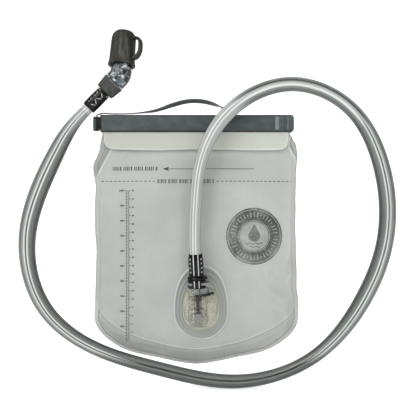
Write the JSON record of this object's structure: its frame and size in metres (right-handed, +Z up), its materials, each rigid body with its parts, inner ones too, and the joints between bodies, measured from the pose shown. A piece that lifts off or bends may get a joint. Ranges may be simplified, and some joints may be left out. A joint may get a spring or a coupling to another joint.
{
  "type": "hydration bladder",
  "caption": "Flat film drinking-water bladder with a fold-over slide-lock mouth, quick-connect port, clear drinking hose and capped elbow bite valve.",
  "frame": {"origin": "centre of the reservoir's flat back face", "axes": "+Z up towards the mouth, +X to the right seen from the front, +Y out of the back face; the front with the port faces -Y"},
  "size_m": [0.3159, 0.0398, 0.3006],
  "materials": {
    "film": "translucent frosted TPU film, satin",
    "stiffener": "cream moulded strip under film",
    "bar_plastic": "slate grey moulded plastic, satin",
    "black_plastic": "near-black glossy moulded plastic",
    "clear_plastic": "clear moulded plastic, faint warm tint",
    "hose_clear": "clear flexible tubing",
    "frosted_plastic": "grey translucent moulded plastic",
    "rubber": "matte seal rubber",
    "spring_steel": "stainless wire",
    "silicone": "milky soft silicone",
    "cap_plastic": "dark olive-grey moulded plastic",
    "collar_plastic": "dark grey ribbed plastic"
  },
  "bodies": {
    "reservoir": {"front_panel": "film", "back_panel": "film", "bottom_gusset": "film", "front_mouth_strip": "stiffener", "back_mouth_strip": "stiffener", "leash": "film", "port_flange": "film", "port_housing": "clear_plastic", "socket_collar": "black_plastic", "latch_spring": "spring_steel", "seat_sleeve": "frosted_plastic", "spring_cage": "frosted_plastic", "poppet_spring": "spring_steel"},
    "bar": {"slide_bar": "bar_plastic", "leash_toggle": "black_plastic"},
    "latch": {"latch_plate": "frosted_plastic"},
    "valve_poppet": {"poppet": "black_plastic", "poppet_seal": "rubber"},
    "drinking_hose": {"plug": "black_plastic", "plug_lower_ring": "rubber", "plug_upper_ring": "rubber", "port_boot": "black_plastic", "hose": "hose_clear", "bite_boot": "black_plastic", "tailpiece": "black_plastic"},
    "shutoff": {"twist_collar": "collar_plastic", "elbow_ring": "rubber"},
    "mouthpiece": {"elbow": "clear_plastic", "bite_valve": "silicone"},
    "cap": {"dust_cap": "cap_plastic"}
  },
  "joints": [
    {"name": "bar_slide", "type": "slide", "parent": "reservoir", "child": "bar", "axis": [1, 0, 0], "range_m": [0, 0.17], "deforming": ["leash"]},
    {"name": "latch_press", "type": "slide", "parent": "reservoir", "child": "latch", "axis": [-0.999, 0, -0.0454], "range_m": [0, 0.0016], "stiffness_N_per_m": 1500, "springref_m": -0.001},
    {"name": "hose_unplug", "type": "slide", "parent": "reservoir", "child": "drinking_hose", "axis": [-0.0453, -0.0698, 0.9965], "range_m": [0, 0.018]},
    {"name": "poppet_travel", "type": "slide", "parent": "reservoir", "child": "valve_poppet", "axis": [-0.0453, -0.0698, 0.9965], "range_m": [0, 0.003], "deforming": ["poppet_spring"]},
    {"name": "shutoff_twist", "type": "hinge", "parent": "drinking_hose", "child": "shutoff", "pos_m": [-0.07382, -0.018, 0.13168], "axis": [0.7071, 0, 0.7071], "range_deg": [0, 90]},
    {"name": "elbow_swivel", "type": "hinge", "parent": "shutoff", "child": "mouthpiece", "pos_m": [-0.06738, -0.018, 0.13812], "axis": [0.7071, 0, 0.7071], "continuous": true},
    {"name": "cap_pull", "type": "slide", "parent": "mouthpiece", "child": "cap", "axis": [0.065, 0.139, 0.9882], "range_m": [0, 0.032]}
  ],
  "couplings": [
    {"joint": "poppet_travel", "follows": "hose_unplug", "ratio": 0.16667}
  ]
}
